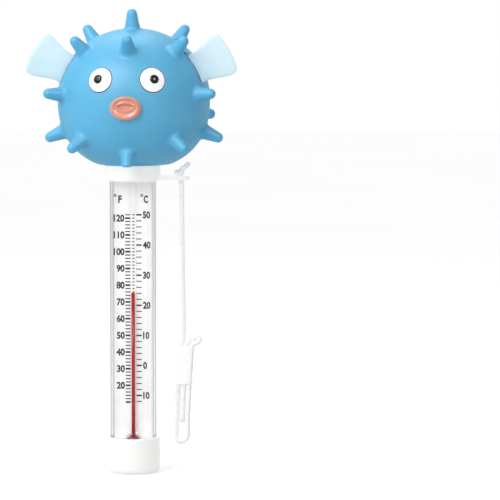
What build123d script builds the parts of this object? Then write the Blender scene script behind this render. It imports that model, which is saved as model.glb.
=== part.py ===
from build123d import *
import math
import os

# Floating pool thermometer: a pufferfish float on a clear tube with a spirit thermometer.
# Millimetres. The origin is the centre of the bottom cap's flat underside, +Z is up the tube,
# and the fish looks along -Y. The tether tab points along +X.

os.makedirs("parts", exist_ok=True)

# ---------------------------------------------------------------- driving dimensions
gap = 0.05  # clearance between pieces that are pushed together

# tube and its caps
tube_radius = 10.6
tube_wall = 1.2
foot_radius = 12.15
foot_height = 16.2
foot_floor = 2.4
foot_rounding = 2.2
seal_thickness = 1.2
visible_tube_top = 133.7
tube_length = 133.9
tube_bottom = foot_floor + seal_thickness
tube_top = tube_bottom + tube_length
tube_bore = tube_radius - tube_wall
web_bottom = tube_top + seal_thickness  # underside of the wall that closes the top cap

# top cap: flange with tether tab, collar, and the neck that plugs into the float
step_radius = tube_radius + 0.6
flange_bottom = 134.35
flange_thickness = 1.8
flange_radius = 12.85
flange_top = flange_bottom + flange_thickness
collar_radius = 12.6
collar_top = 140.9
neck_radius = 9.0
neck_height = 15.2
neck_top = collar_top + neck_height
neck_bore = 6.6
neck_chamfer = (0.7, 1.0)
web_thickness = 3.5
tab_reach = 22.3  # tube axis to the hole's axis
tab_width = 7.2
tab_hole_radius = 1.5

# soft ring in the neck's groove
ring_section = 0.65
ring_radius = 8.6
groove_radius = 7.9
groove_width = 1.5
groove_height = collar_top + 7.2

# float: a body of revolution whose axis is behind the tube's
body_back = 6.0
body_radius = 34.9
belly_z = 171.6  # height of the widest line
crown_height = 31.9
belly_depth = 33.0
underside = collar_top + gap
flat_depth = belly_z - underside  # the underside is flat at this depth
shell_wall = 2.0
socket_bore = ring_radius + ring_section + gap
socket_wall = 2.0
socket_top = neck_top + 1.4
seat_radius = 13.2  # flat seat on the collar, round the tube's axis
seat_height = 4.0

# spikes
spike_length = 9.2
spike_root_radius = 3.7
spike_tip_radius = 2.35
spike_embedding = 1.2

# (azimuth from the face towards +X, height above the widest line)
centre_spikes = [(0, 31.4), (0.5, 21.3), (185, 27.2), (0, -24.9), (180, -25.3)]
paired_spikes = [
    (52, 21.0),
    (114.5, 25.6),
    (137, 14.0),
    (62, 1.7),
    (149, 4.0),
    (127, -6.9),
    (88.5, -15.4),
    (43.5, -18.8),
    (140, -18.2),
]

# face
eye_azimuth = 20.6
eye_height = 8.5
eye_radius = 5.95
eye_rim_drop = 0.5  # the rim lies this far below the plane that touches the body
eye_pocket = 0.8
eye_dome = 1.7
pupil_radius = 2.05
pupil_shift = 0.5
pupil_pocket = 0.5
pupil_dome = 0.6
lip_height = -4.2
lip_half_width = 7.2
lip_half_height = 5.4
lip_pocket = 1.3
lip_proud = 2.5
lip_rounding = 1.5
mouth_half_width = 3.9
mouth_half_height = 1.9
mouth_depth = 1.6

# fins
fin_thickness = 2.0
fin_plane = -4.5
fin_tab = 3.2  # how far the root reaches inside the body's surface

# thermometer glass
stem_radius = 1.75
stem_bore = 0.97
stem_top = 135.6
bore_top = 123.4
bulb_radius = 3.4
bulb_wall = 0.5
bulb_bottom = 8.0
bulb_shoulder = 14.6
bulb_top = 18.0
spirit_radius = 0.92
thread_bottom = 19.4
degree = 1.387  # rise of the spirit for one degree Celsius
freezing_z = 49.0
reading = 24.2
spirit_top = freezing_z + degree * reading
meniscus_height = 1.0

# card, holder, cushion, ballast
card_width = 17.8
card_thickness = 0.5
card_front = stem_radius + gap
ballast_radius = 8.9
ballast_height = 4.0
cushion_top = 15.3
notch_clearance = 0.35

# tether
cord_radius = 1.2
knot_size = (5.2, 4.6, 3.1)
tail_start = (21.9, 0, 138.3)
tail_end = (26.4, 0, 143.0)
hank_top = 59.4
sleeve_top = 58.4
sleeve_bottom = 40.6
sleeve_wall = 0.3
# (height, left edge, right edge, depth) of the folded cord, from its top down
hank_sections = [
    (hank_top, 20.9, 27.9, 4.9),
    (sleeve_top, 20.8, 27.85, 4.9),
    (sleeve_bottom, 19.2, 27.1, 4.9),
    (26.4, 18.9, 26.3, 4.9),
    (21.4, 18.4, 25.9, 2.7),
    (15.9, 19.2, 25.1, 2.6),
    (13.2, 20.9, 23.5, 2.5),
]
eye_slot_centre = (22.1, 19.0)
eye_slot_size = (6.0, 2.8)
bight_centre = (28.1, 61.1)
bight_size = (7.1, 4.7)
bight_tilt = 14
bight_half_depth = 1.3
cord_route = [(tab_reach, 0, flange_top), (22.45, 0, 98.4), (23.1, 0, hank_top - 0.4)]


def save(builder, name):
    """Label a finished piece and write its STEP file."""
    builder.part.label = name
    export_step(builder.part, f"parts/{name}.step")


# ---------------------------------------------------------------- shape of the float's body
def body_exponents(height):
    """Round above the widest line, squarer below it."""
    if height >= 0:
        return crown_height, 2.0, 2.0
    return belly_depth, 2.3, 2.4


def body_reach(height, inset=0.0):
    """Radius of the body at a height above its widest line."""
    semi, across, up = body_exponents(height)
    level = min(abs(height) / (semi - inset), 1.0)
    return (body_radius - inset) * (1 - level**up) ** (1 / across)


def body_plane(azimuth, height):
    """Plane that touches the body, with its normal outwards and its y direction up."""
    semi, across, up = body_exponents(height)
    reach = body_reach(height)
    outward = across / body_radius * (reach / body_radius) ** (across - 1)
    upward = math.copysign(up / semi * (abs(height) / semi) ** (up - 1), height)
    angle = math.radians(azimuth)
    side = (math.sin(angle), -math.cos(angle))
    origin = (reach * side[0], body_back + reach * side[1], belly_z + height)
    normal = Vector(outward * side[0], outward * side[1], upward)
    along = Vector(math.cos(angle), math.sin(angle), 0)
    return Plane(origin=origin, x_dir=along, z_dir=normal)


def body_of_revolution(inset, floor_depth):
    """Solid of the body's shape, made smaller by inset, with a flat floor."""
    steps = 9
    quarter = [math.radians(90 * step / steps) for step in range(steps + 1)]
    crown_levels = [(crown_height - inset) * math.cos(angle) for angle in quarter]
    belly_levels = [-floor_depth * math.sin(angle) for angle in quarter]
    crown = [(body_reach(level, inset), belly_z + level) for level in crown_levels]
    belly = [(body_reach(level, inset), belly_z + level) for level in belly_levels]
    bottom = (0, belly_z - floor_depth)
    with BuildSketch(Plane.XZ.offset(-body_back)) as profile:
        with BuildLine():
            Spline(*crown, tangents=((1, 0), (0, -1)))
            Spline(*belly, tangents=((0, -1), (-1, -0.12)))
            Line(belly[-1], bottom)
            Line(bottom, crown[0])
        make_face()
    revolve(profile.sketch, axis=Axis((0, body_back, 0), (0, 0, 1)))


with BuildPart() as cavity:
    body_of_revolution(shell_wall, flat_depth - shell_wall)
    with BuildSketch(Plane.XY.offset(collar_top)):
        Circle(socket_bore + socket_wall)
    extrude(amount=socket_top + socket_wall - collar_top, mode=Mode.SUBTRACT)

with BuildPart() as spike:
    with BuildSketch(Plane.XZ):
        tip_centre = spike_length - spike_tip_radius
        with BuildLine():
            Line((0, -spike_embedding), (spike_root_radius, -spike_embedding))
            Line((spike_root_radius, -spike_embedding), (spike_tip_radius, tip_centre))
            CenterArc((0, tip_centre), spike_tip_radius, 0, 90)
            Line((0, spike_length), (0, -spike_embedding))
        make_face()
    revolve(axis=Axis.Z)

spike_places = centre_spikes + paired_spikes + [(-turn, height) for turn, height in paired_spikes]


# ---------------------------------------------------------------- fins
def side_fin(side, growth=0.0):
    """Plate on one side of the body, or the shape of its slot; side is 1 at +X and -1 at -X."""

    def at(across, height):
        return side * across, belly_z + height

    with BuildSketch(Plane.XZ.offset(-fin_plane)) as outline:
        with BuildLine():
            ThreePointArc(at(24.5, 18.2), at(30.6, 22.0), at(35.8, 27.8))
            ThreePointArc(at(35.8, 27.8), at(38.6, 29.1), at(41.0, 27.1))
            ThreePointArc(at(41.0, 27.1), at(45.3, 20.8), at(48.1, 14.0))
            ThreePointArc(at(48.1, 14.0), at(47.6, 11.6), at(45.2, 10.3))
            Polyline(at(45.2, 10.3), at(30.0, 6.8), at(24.5, 18.2))
        make_face()
        offset(amount=growth)
    extrude(outline.sketch, amount=fin_thickness / 2 + growth, both=True)


def median_fin(growth=0.0):
    """Plate at the back, in the plane of symmetry, or the shape of its slot."""

    def at(back, height):
        return back, belly_z + height

    with BuildSketch(Plane.YZ) as outline:
        with BuildLine():
            Polyline(at(26.5, 19.0), at(39.0, 27.1))
            ThreePointArc(at(39.0, 27.1), at(42.3, 27.7), at(44.2, 25.1))
            ThreePointArc(at(44.2, 25.1), at(46.9, 16.5), at(47.6, 8.0))
            ThreePointArc(at(47.6, 8.0), at(46.6, 5.7), at(44.0, 5.1))
            Polyline(at(44.0, 5.1), at(36.5, 4.7), at(26.5, 19.0))
        make_face()
        offset(amount=growth)
    extrude(outline.sketch, amount=fin_thickness / 2 + growth, both=True)


with BuildPart() as core:
    body_of_revolution(fin_tab, flat_depth - fin_tab)

with BuildPart() as fin_left:
    side_fin(-1)
    add(core.part, mode=Mode.SUBTRACT)
save(fin_left, "fin_left")

with BuildPart() as fin_right:
    side_fin(1)
    add(core.part, mode=Mode.SUBTRACT)
save(fin_right, "fin_right")

with BuildPart() as tail_fin:
    median_fin()
    add(core.part, mode=Mode.SUBTRACT)
save(tail_fin, "tail_fin")

with BuildPart() as left_slot:
    side_fin(-1, gap)

with BuildPart() as right_slot:
    side_fin(1, gap)

with BuildPart() as tail_slot:
    median_fin(gap)


# ---------------------------------------------------------------- face
def eye_plane(side):
    """Plane of an eye's rim."""
    return body_plane(side * eye_azimuth, eye_height).offset(-eye_rim_drop)


def eye_disc(side):
    """Domed disc with a short wall that sits in its pocket."""
    sphere_radius = (eye_radius**2 + eye_dome**2) / (2 * eye_dome)
    plane = eye_plane(side)
    with BuildSketch(plane.offset(-eye_pocket)) as disc:
        Circle(eye_radius)
    extrude(disc.sketch, amount=eye_pocket + eye_dome)
    with Locations(plane.offset(eye_dome - sphere_radius)):
        Sphere(sphere_radius, mode=Mode.INTERSECT)


def pupil_plane(side):
    """Plane of a pupil's rim, on the eye's dome and a little outwards of its centre."""
    sphere_radius = (eye_radius**2 + eye_dome**2) / (2 * eye_dome)
    rise = math.sqrt(sphere_radius**2 - pupil_shift**2) - (sphere_radius - eye_dome)
    edge_drop = pupil_radius**2 / (2 * sphere_radius)
    plane = eye_plane(side).offset(rise - edge_drop)
    centre = plane.from_local_coords((side * pupil_shift, 0, 0))
    return Plane(origin=centre, x_dir=plane.x_dir, z_dir=plane.z_dir)


def pupil_pocket_cut(side):
    """Round hole in the eye for its pupil."""
    with BuildSketch(pupil_plane(side).offset(-pupil_pocket)) as disc:
        Circle(pupil_radius + gap)
    extrude(disc.sketch, amount=3 * pupil_pocket, mode=Mode.SUBTRACT)


def pupil_dot(side):
    """Raised black dot."""
    sphere_radius = (pupil_radius**2 + pupil_dome**2) / (2 * pupil_dome)
    plane = pupil_plane(side)
    with BuildSketch(plane.offset(-pupil_pocket)) as disc:
        Circle(pupil_radius)
    extrude(disc.sketch, amount=pupil_pocket + pupil_dome)
    with Locations(plane.offset(pupil_dome - sphere_radius)):
        Sphere(sphere_radius, mode=Mode.INTERSECT)


with BuildPart() as eye_white_left:
    eye_disc(-1)
    pupil_pocket_cut(-1)
save(eye_white_left, "eye_white_left")

with BuildPart() as eye_white_right:
    eye_disc(1)
    pupil_pocket_cut(1)
save(eye_white_right, "eye_white_right")

with BuildPart() as pupil_left:
    pupil_dot(-1)
save(pupil_left, "pupil_left")

with BuildPart() as pupil_right:
    pupil_dot(1)
save(pupil_right, "pupil_right")

lip_plane = body_plane(0, lip_height)

with BuildPart() as lips:
    with BuildSketch(lip_plane.offset(-lip_pocket)):
        Ellipse(lip_half_width, lip_half_height)
    extrude(amount=lip_pocket + lip_proud)
    front = lips.faces().sort_by(Axis.Y)[0]
    fillet(front.edges(), lip_rounding)
    with BuildSketch(lip_plane.offset(lip_proud - mouth_depth)):
        Ellipse(mouth_half_width, mouth_half_height)
    extrude(amount=2 * mouth_depth, mode=Mode.SUBTRACT)
save(lips, "lips")

# ---------------------------------------------------------------- float shell
with BuildPart() as float_shell:
    body_of_revolution(0.0, flat_depth)
    for turn, height in spike_places:
        with Locations(body_plane(turn, height)):
            add(spike.part)
    with BuildSketch(Plane.XY.offset(underside)):
        Circle(seat_radius)
    extrude(amount=seat_height)
    add(cavity.part, mode=Mode.SUBTRACT)
    # blind socket for the neck, open underneath
    with BuildSketch(Plane.XY.offset(underside)):
        Circle(socket_bore)
    extrude(amount=socket_top - underside, mode=Mode.SUBTRACT)
    # pockets for the eyes and the lips
    for side in (-1, 1):
        with BuildSketch(eye_plane(side).offset(-eye_pocket - gap)):
            Circle(eye_radius + gap)
        extrude(amount=5, mode=Mode.SUBTRACT)
    with BuildSketch(lip_plane.offset(-lip_pocket - gap)):
        Ellipse(lip_half_width + gap, lip_half_height + gap)
    extrude(amount=4, mode=Mode.SUBTRACT)
    # slots for the fins
    for slot in (left_slot, right_slot, tail_slot):
        add(slot.part, mode=Mode.SUBTRACT)
save(float_shell, "float_shell")

# ---------------------------------------------------------------- neck and top cap
with BuildPart() as top_cap:
    with BuildSketch(Plane.XZ):
        with BuildLine():
            Polyline(
                (0, web_bottom),
                (tube_radius + gap, web_bottom),
                (tube_radius + gap, visible_tube_top),
                (step_radius, visible_tube_top),
                (step_radius, flange_bottom),
                (flange_radius, flange_bottom),
                (flange_radius, flange_top),
                (collar_radius, flange_top),
                (collar_radius, collar_top),
                (neck_radius, collar_top),
                (neck_radius, groove_height - groove_width / 2),
                (groove_radius, groove_height - groove_width / 2),
                (groove_radius, groove_height + groove_width / 2),
                (neck_radius, groove_height + groove_width / 2),
                (neck_radius, neck_top - neck_chamfer[1]),
                (neck_radius - neck_chamfer[0], neck_top),
                (neck_bore, neck_top),
                (neck_bore, web_bottom + web_thickness),
                (0, web_bottom + web_thickness),
                close=True,
            )
        make_face()
    revolve(axis=Axis.Z)
    with BuildSketch(Plane.XY.offset(flange_bottom)):
        with Locations((tab_reach / 2, 0)):
            Rectangle(tab_reach, tab_width)
        with Locations((tab_reach, 0)):
            Circle(tab_width / 2)
        Circle(collar_radius - 1, mode=Mode.SUBTRACT)
        with Locations((tab_reach, 0)):
            Circle(tab_hole_radius, mode=Mode.SUBTRACT)
    extrude(amount=flange_thickness)
save(top_cap, "top_cap")

with BuildPart() as neck_ring:
    with BuildSketch(Plane.XZ):
        with Locations((ring_radius, groove_height)):
            Circle(ring_section)
    revolve(axis=Axis.Z)
save(neck_ring, "neck_ring")


# ---------------------------------------------------------------- tube, seals and foot
def washer(bottom, height, outer, inner):
    """Flat ring about the tube's axis."""
    with BuildSketch(Plane.XY.offset(bottom)) as ring:
        Circle(outer)
        Circle(inner, mode=Mode.SUBTRACT)
    extrude(ring.sketch, amount=height)


with BuildPart() as top_seal:
    washer(tube_top, seal_thickness, tube_radius, tube_bore)
save(top_seal, "top_seal")

with BuildPart() as bottom_seal:
    washer(foot_floor, seal_thickness, tube_radius, tube_bore)
save(bottom_seal, "bottom_seal")

with BuildPart() as outer_tube:
    washer(tube_bottom, tube_length, tube_radius, tube_bore)
save(outer_tube, "outer_tube")

with BuildPart() as bottom_cap:
    with BuildSketch(Plane.XY):
        Circle(foot_radius)
    extrude(amount=foot_height)
    fillet(bottom_cap.edges().sort_by(Axis.Z)[0], foot_rounding)
    with BuildSketch(Plane.XY.offset(foot_floor)):
        Circle(tube_radius + gap)
    extrude(amount=foot_height, mode=Mode.SUBTRACT)
    fillet(bottom_cap.edges().group_by(Axis.Z)[-1].sort_by(SortBy.RADIUS)[-1], 0.5)
save(bottom_cap, "bottom_cap")

# ---------------------------------------------------------------- inside the tube
with BuildPart() as ballast:
    with BuildSketch(Plane.XY.offset(foot_floor)):
        Circle(ballast_radius)
    extrude(amount=ballast_height)
    chamfer(ballast.edges().group_by(Axis.Z)[-1], 0.4)
save(ballast, "ballast")

with BuildPart() as bulb_cushion:
    with BuildSketch(Plane.XY.offset(foot_floor + ballast_height)):
        Circle(tube_bore - gap)
    extrude(amount=cushion_top - foot_floor - ballast_height)
    with BuildSketch(Plane.XY.offset(bulb_bottom - gap)):
        Circle(bulb_radius + gap)
    extrude(amount=cushion_top - bulb_bottom + gap, mode=Mode.SUBTRACT)
save(bulb_cushion, "bulb_cushion")

with BuildPart() as scale_card:
    with BuildSketch(Plane.XZ.offset(-card_front)):
        card_middle = (cushion_top + visible_tube_top) / 2
        with Locations((0, card_middle)):
            Rectangle(card_width, visible_tube_top - cushion_top)
        # notch for the bulb
        with Locations((0, bulb_shoulder)):
            Circle(bulb_radius + notch_clearance, mode=Mode.SUBTRACT)
    extrude(amount=-card_thickness)
save(scale_card, "scale_card")

with BuildPart() as stem_holder:
    washer(visible_tube_top, web_bottom - visible_tube_top, tube_bore - gap, stem_radius + gap)
save(stem_holder, "stem_holder")


def bulb_profile(inset, top_radius, top):
    """Half section of the bulb: round below, straight wall, shoulder drawn in to the stem."""
    radius = bulb_radius - inset
    low = bulb_bottom + inset
    high = bulb_top - inset
    CenterArc((0, low + radius), radius, -90, 90)
    Line((radius, low + radius), (radius, bulb_shoulder))
    Spline((radius, bulb_shoulder), (top_radius, high), tangents=((0, 1), (-0.5, 1)))
    Polyline((top_radius, high), (top_radius, top), (0, top), (0, low))


with BuildPart() as thermometer_glass:
    with BuildSketch(Plane.XZ):
        with BuildLine():
            bulb_profile(0, stem_radius, stem_top)
        make_face()
        with BuildLine():
            bulb_profile(bulb_wall, stem_bore, bore_top)
        make_face(mode=Mode.SUBTRACT)
    revolve(axis=Axis.Z)
    fillet(thermometer_glass.edges().sort_by(Axis.Z)[-1], 0.8)
save(thermometer_glass, "thermometer_glass")

with BuildPart() as spirit_bulb:
    with BuildSketch(Plane.XZ):
        with BuildLine():
            bulb_profile(bulb_wall + gap, spirit_radius, thread_bottom)
        make_face()
    revolve(axis=Axis.Z)
save(spirit_bulb, "spirit_bulb")

with BuildPart() as spirit_thread:
    with BuildSketch(Plane.XY.offset(thread_bottom)):
        Circle(spirit_radius)
    extrude(amount=spirit_top - meniscus_height - thread_bottom)
save(spirit_thread, "spirit_thread")

with BuildPart() as spirit_meniscus:
    with BuildSketch(Plane.XY.offset(spirit_top - meniscus_height)):
        Circle(spirit_radius)
    extrude(amount=meniscus_height)
    fillet(spirit_meniscus.edges().sort_by(Axis.Z)[-1], 0.6)
save(spirit_meniscus, "spirit_meniscus")

# ---------------------------------------------------------------- tether
with BuildPart() as tether_knot:
    with Locations((tab_reach - 0.8, 0, flange_top + knot_size[2] / 2)):
        Box(*knot_size)
    fillet(tether_knot.edges(), 1.2)
    tail_run = Vector(*tail_end) - Vector(*tail_start)
    with BuildSketch(Plane(origin=tail_start, z_dir=tail_run)):
        Circle(cord_radius)
    extrude(amount=tail_run.length)
    fillet(tether_knot.faces().sort_by(Axis(tail_start, tail_run))[-1].edges(), 0.5)
save(tether_knot, "tether_knot")


def corner_radii(points, share=0.45):
    """Largest tangent arc for each corner of a route."""
    radii = []
    for before, corner, after in zip(points, points[1:], points[2:]):
        run_in = Vector(*corner) - Vector(*before)
        run_out = Vector(*after) - Vector(*corner)
        half_turn = math.radians(run_in.get_angle(run_out)) / 2
        radii.append(share * min(run_in.length, run_out.length) / math.tan(half_turn))
    return radii


cord_radii = corner_radii(cord_route)
print("cord radii", [round(radius, 1) for radius in cord_radii])

with BuildPart() as tether_cord:
    with BuildLine():
        cord_path = FilletPolyline(*cord_route, radius=cord_radii)
    with BuildSketch(Plane(origin=cord_path @ 0, z_dir=cord_path % 0)):
        Circle(cord_radius)
    sweep(path=cord_path)
section_area = math.pi * cord_radius**2
print("cord volume", tether_cord.part.volume, "from its length", section_area * cord_path.length)
save(tether_cord, "tether_cord")


def folded_section(height, left, right, depth, growth=0.0):
    """Rounded cross-section of the folded cord, or of the sleeve around it."""
    with BuildSketch(Plane.XY.offset(height), mode=Mode.PRIVATE) as section:
        with Locations(((left + right) / 2, 0)):
            width = right - left + 2 * growth
            full_depth = depth + 2 * growth
            RectangleRounded(width, full_depth, 0.46 * min(width, full_depth))
    return section.sketch


with BuildPart() as tether_hank:
    loft([folded_section(*level) for level in hank_sections], ruled=True)
    # eye left by the longest fold
    with BuildSketch(Plane.XZ.offset(-4)):
        with Locations(eye_slot_centre):
            SlotOverall(*eye_slot_size, rotation=90)
    extrude(amount=8, mode=Mode.SUBTRACT)
    # bight that stands out of the sleeve
    with BuildSketch(Plane.XZ):
        with Locations(bight_centre):
            SlotOverall(*bight_size, rotation=bight_tilt)
    extrude(amount=bight_half_depth, both=True)
save(tether_hank, "tether_hank")

sleeve_sections = hank_sections[1:3]

with BuildPart() as sleeve_inside:
    loft([folded_section(*fold, growth=gap) for fold in sleeve_sections], ruled=True)

with BuildPart() as hank_sleeve:
    outer_growth = gap + sleeve_wall
    loft([folded_section(*fold, growth=outer_growth) for fold in sleeve_sections], ruled=True)
    add(sleeve_inside.part, mode=Mode.SUBTRACT)
save(hank_sleeve, "hank_sleeve")
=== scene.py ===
"""Floating pool thermometer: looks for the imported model.

The pieces are worked out in millimetres in the frame of the part and scaled to metres.
The fish looks along -Y, the tube stands on the floor along +Z, and the tether hangs at +X.
"""

import math

import bpy
import numpy as np
from mathutils import Matrix, Vector


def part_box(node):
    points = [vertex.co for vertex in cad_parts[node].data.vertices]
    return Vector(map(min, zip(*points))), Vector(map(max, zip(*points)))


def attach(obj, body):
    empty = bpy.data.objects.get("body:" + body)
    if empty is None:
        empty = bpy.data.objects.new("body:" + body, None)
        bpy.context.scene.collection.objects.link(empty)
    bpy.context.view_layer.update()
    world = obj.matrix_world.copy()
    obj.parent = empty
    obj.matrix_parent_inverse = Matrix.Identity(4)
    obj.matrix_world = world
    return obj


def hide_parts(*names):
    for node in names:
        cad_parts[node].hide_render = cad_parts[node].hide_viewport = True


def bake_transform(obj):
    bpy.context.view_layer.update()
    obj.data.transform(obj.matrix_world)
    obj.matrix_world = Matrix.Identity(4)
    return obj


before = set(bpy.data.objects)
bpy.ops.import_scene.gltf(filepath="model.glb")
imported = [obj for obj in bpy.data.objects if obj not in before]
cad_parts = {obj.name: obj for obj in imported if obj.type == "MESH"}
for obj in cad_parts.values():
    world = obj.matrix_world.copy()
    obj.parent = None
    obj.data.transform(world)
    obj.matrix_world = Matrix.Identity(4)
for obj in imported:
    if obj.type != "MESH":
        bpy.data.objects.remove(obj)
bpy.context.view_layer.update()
MM = 0.001

# ------------ places and sizes, in millimetres
BODY_BACK = 6.0
BODY_RADIUS = 34.9
BELLY_Z = 171.6
CROWN_HEIGHT = 31.9
BELLY_DEPTH = 33.0
SOCKET_RADIUS = 9.3
SEAT_RADIUS = 13.2
SEAT_HEIGHT = 4.0
SPIKE_LENGTH = 9.2
SPIKE_ROOT = 3.7
SPIKE_TIP = 2.35
SPIKE_SINK = 1.2
# azimuth in degrees from the face towards +X, and height above the widest line
CENTRE_SPIKES = [(0, 31.4), (0.5, 21.3), (185, 27.2), (0, -24.9), (180, -25.3)]
PAIRED_SPIKES = [
    (52, 21.0), (114.5, 25.6), (137, 14.0), (62, 1.7), (149, 4.0), (127, -6.9),
    (88.5, -15.4), (43.5, -18.8), (140, -18.2),
]
SPIKES = CENTRE_SPIKES + PAIRED_SPIKES + [(-turn, height) for turn, height in PAIRED_SPIKES]


def corner(node, which):
    """Lowest (0) or highest (1) corner of a CAD node, in millimetres."""
    return np.array(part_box(node)[which]) / MM


NECK_HEIGHT = 15.2
SOCKET_DEPTH = 16.6
COLLAR_Z = corner("top_cap", 1)[2] - NECK_HEIGHT
FLAT_Z = COLLAR_Z + 0.05
SOCKET_TOP = COLLAR_Z + SOCKET_DEPTH
CARD_FRONT = corner("scale_card", 0)[1]
MENISCUS_BOTTOM = corner("spirit_meniscus", 0)[2]
THREAD_BOTTOM = corner("spirit_thread", 0)[2]
THREAD_RADIUS = corner("spirit_thread", 1)[0] - 0.05
CORD_DIAMETER = 2.4


# ------------ mesh helpers
def in_scene(name, data):
    """New object of the scene."""
    thing = bpy.data.objects.new(name, data)
    bpy.context.scene.collection.objects.link(thing)
    return thing


def new_object(name, points, faces, material, smooth=True):
    """Mesh object from points in millimetres."""
    mesh = bpy.data.meshes.new(name)
    points = np.asarray(points, float) * MM
    mesh.from_pydata(points.tolist(), [], [list(face) for face in faces])
    mesh.update()
    mesh.materials.append(material)
    if smooth:
        mesh.shade_smooth()
    else:
        mesh.shade_flat()
    return in_scene(name, mesh)


def place(piece, body, slot, *nodes):
    """Give a piece its body, and let it stand for CAD nodes; slot is not used."""
    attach(piece, body)
    if nodes:
        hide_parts(*nodes)
    return piece


def ring_faces(rows, columns, capped=True):
    """Faces of a tube of rows of points, each row a closed ring."""
    faces = []
    for row in range(rows - 1):
        for column in range(columns):
            after = (column + 1) % columns
            low, high = row * columns, (row + 1) * columns
            faces.append((low + column, low + after, high + after, high + column))
    if capped:
        faces.append(tuple(range(columns))[::-1])
        faces.append(tuple(range((rows - 1) * columns, rows * columns)))
    return faces


def loop_faces(rows, columns):
    """Faces of rows of points whose last row meets the first."""
    faces = ring_faces(rows + 1, columns, capped=False)
    return [tuple(index % (rows * columns) for index in face) for face in faces]


FACE_SIDES = 96


def turned(profile, segments=FACE_SIDES):
    """Points and faces of a profile of (radius, height) turned about a vertical axis."""
    angles = np.arange(segments) * 2 * math.pi / segments
    rows = []
    for radius, height in profile:
        x, y = radius * np.cos(angles), radius * np.sin(angles)
        rows.append(np.stack([x, y, np.full(segments, height)], axis=1))
    return np.concatenate(rows), ring_faces(len(rows), segments)


# ------------ materials
def node_material(name):
    """Material with a Principled shader, and its tree."""
    material = bpy.data.materials.new(name)
    material.use_nodes = True
    tree = material.node_tree
    shader = tree.nodes["Principled BSDF"]
    return material, tree, shader


def link(source, output, target, entry):
    """Join two nodes of a tree."""
    source.id_data.links.new(source.outputs[output], target.inputs[entry])


def fill(node, values):
    """Set some of a node's inputs."""
    for name, value in values.items():
        node.inputs[name].default_value = value
    return node


def new_node(tree, kind, values):
    """Node of a tree with some of its inputs set."""
    return fill(tree.nodes.new("ShaderNode" + kind), values)


def product_node(tree, factor=1.0):
    """Multiplies its first input by the second, which is a factor unless it is linked too."""
    node = new_node(tree, "Math", {1: factor})
    node.operation = "MULTIPLY"
    return node


def ramp_node(tree, positions, colours):
    """Ramp between two colours."""
    ramp = tree.nodes.new("ShaderNodeValToRGB")
    for element, position, colour in zip(ramp.color_ramp.elements, positions, colours):
        element.position = position
        element.color = colour
    return ramp


def mixed(tree, first, second, share=0.5):
    """Mix of two shaders as the material's surface; share is the second's."""
    join = new_node(tree, "MixShader", {"Fac": share})
    link(first, "BSDF", join, 1)
    link(second, "BSDF", join, 2)
    link(join, "Shader", tree.nodes["Material Output"], "Surface")
    return join


def linear(red, green, blue):
    """Colour given as it is seen, from 0 to 255, turned into light."""
    values = [channel / 255 for channel in (red, green, blue)]
    return [c / 12.92 if c <= 0.04045 else ((c + 0.055) / 1.055) ** 2.4 for c in values] + [1.0]


def noise_node(tree, scale, detail=3.0):
    """Noise over the object's own coordinates; scale is in features per metre."""
    coordinates = tree.nodes.new("ShaderNodeTexCoord")
    noise = new_node(tree, "TexNoise", {"Scale": scale, "Detail": detail, "Roughness": 0.5})
    link(coordinates, "Object", noise, "Vector")
    return noise


def vary_colour(tree, shader, low, high, scale):
    """Base colour that drifts between two colours."""
    noise = noise_node(tree, scale)
    ramp = ramp_node(tree, (0.3, 0.7), (low, high))
    link(noise, "Fac", ramp, "Fac")
    link(ramp, "Color", shader, "Base Color")


def vary_roughness(tree, shader, low, high, scale):
    """Roughness that drifts between two values."""
    noise = noise_node(tree, scale)
    spread = new_node(tree, "MapRange", {"To Min": low, "To Max": high})
    link(noise, "Fac", spread, "Value")
    link(spread, "Result", shader, "Roughness")


def grain(tree, shader, scale, strength, distance, detail=2.0):
    """Fine bump."""
    noise = noise_node(tree, scale, detail)
    bump = new_node(tree, "Bump", {"Strength": strength, "Distance": distance})
    link(noise, "Fac", bump, "Height")
    link(bump, "Normal", shader, "Normal")


def tuned(material, values):
    """The same material with some of its shader's inputs set."""
    fill(material.node_tree.nodes["Principled BSDF"], values)
    return material


def milky(material, share):
    """Painted glow: emission that lifts a white material's shaded side, standing in for the light
    that milky plastic passes round to it.
    """
    return tuned(material, {"Emission Color": (1, 1, 0.99, 1), "Emission Strength": share})


def soft_light(shader, weight, radius, scale=0.002):
    """Light that travels under the surface."""
    for name, value in (("Weight", weight), ("Radius", radius), ("Scale", scale)):
        shader.inputs[f"Subsurface {name}"].default_value = value


def vinyl_material():
    """Matte soft vinyl with a faint moulded grain."""
    material, tree, shader = node_material("vinyl blue")
    vary_colour(tree, shader, linear(78, 169, 211), linear(86, 176, 217), 60)
    vary_roughness(tree, shader, 0.42, 0.5, 300)
    grain(tree, shader, 2600, 0.06, 0.0002)
    soft_light(shader, 0.12, (0.4, 0.8, 1.0))
    return tuned(material, {"Specular IOR Level": 0.65, "IOR": 1.45})


def fin_material():
    """Pale blue plastic that lets some light through."""
    material, tree, shader = node_material("fin film")
    vary_colour(tree, shader, linear(222, 242, 250), linear(230, 247, 252), 90)
    vary_roughness(tree, shader, 0.3, 0.42, 200)
    grain(tree, shader, 900, 0.05, 0.0002)
    soft_light(shader, 0.35, (0.8, 1.0, 1.0), 0.004)
    through = new_node(tree, "BsdfTranslucent", {"Color": linear(225, 246, 253)})
    mixed(tree, shader, through, 0.35)
    # painted glow: a faint emission lifts the fin's shaded side
    return milky(material, 0.03)


def plastic_material(name, low, high, gloss, grain_strength=0.03):
    """Moulded plastic: slightly uneven colour and gloss, and a fine grain."""
    material, tree, shader = node_material(name)
    vary_colour(tree, shader, low, high, 120)
    vary_roughness(tree, shader, gloss, gloss + 0.1, 400)
    grain(tree, shader, 1800, grain_strength, 0.0001)
    return material


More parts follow.
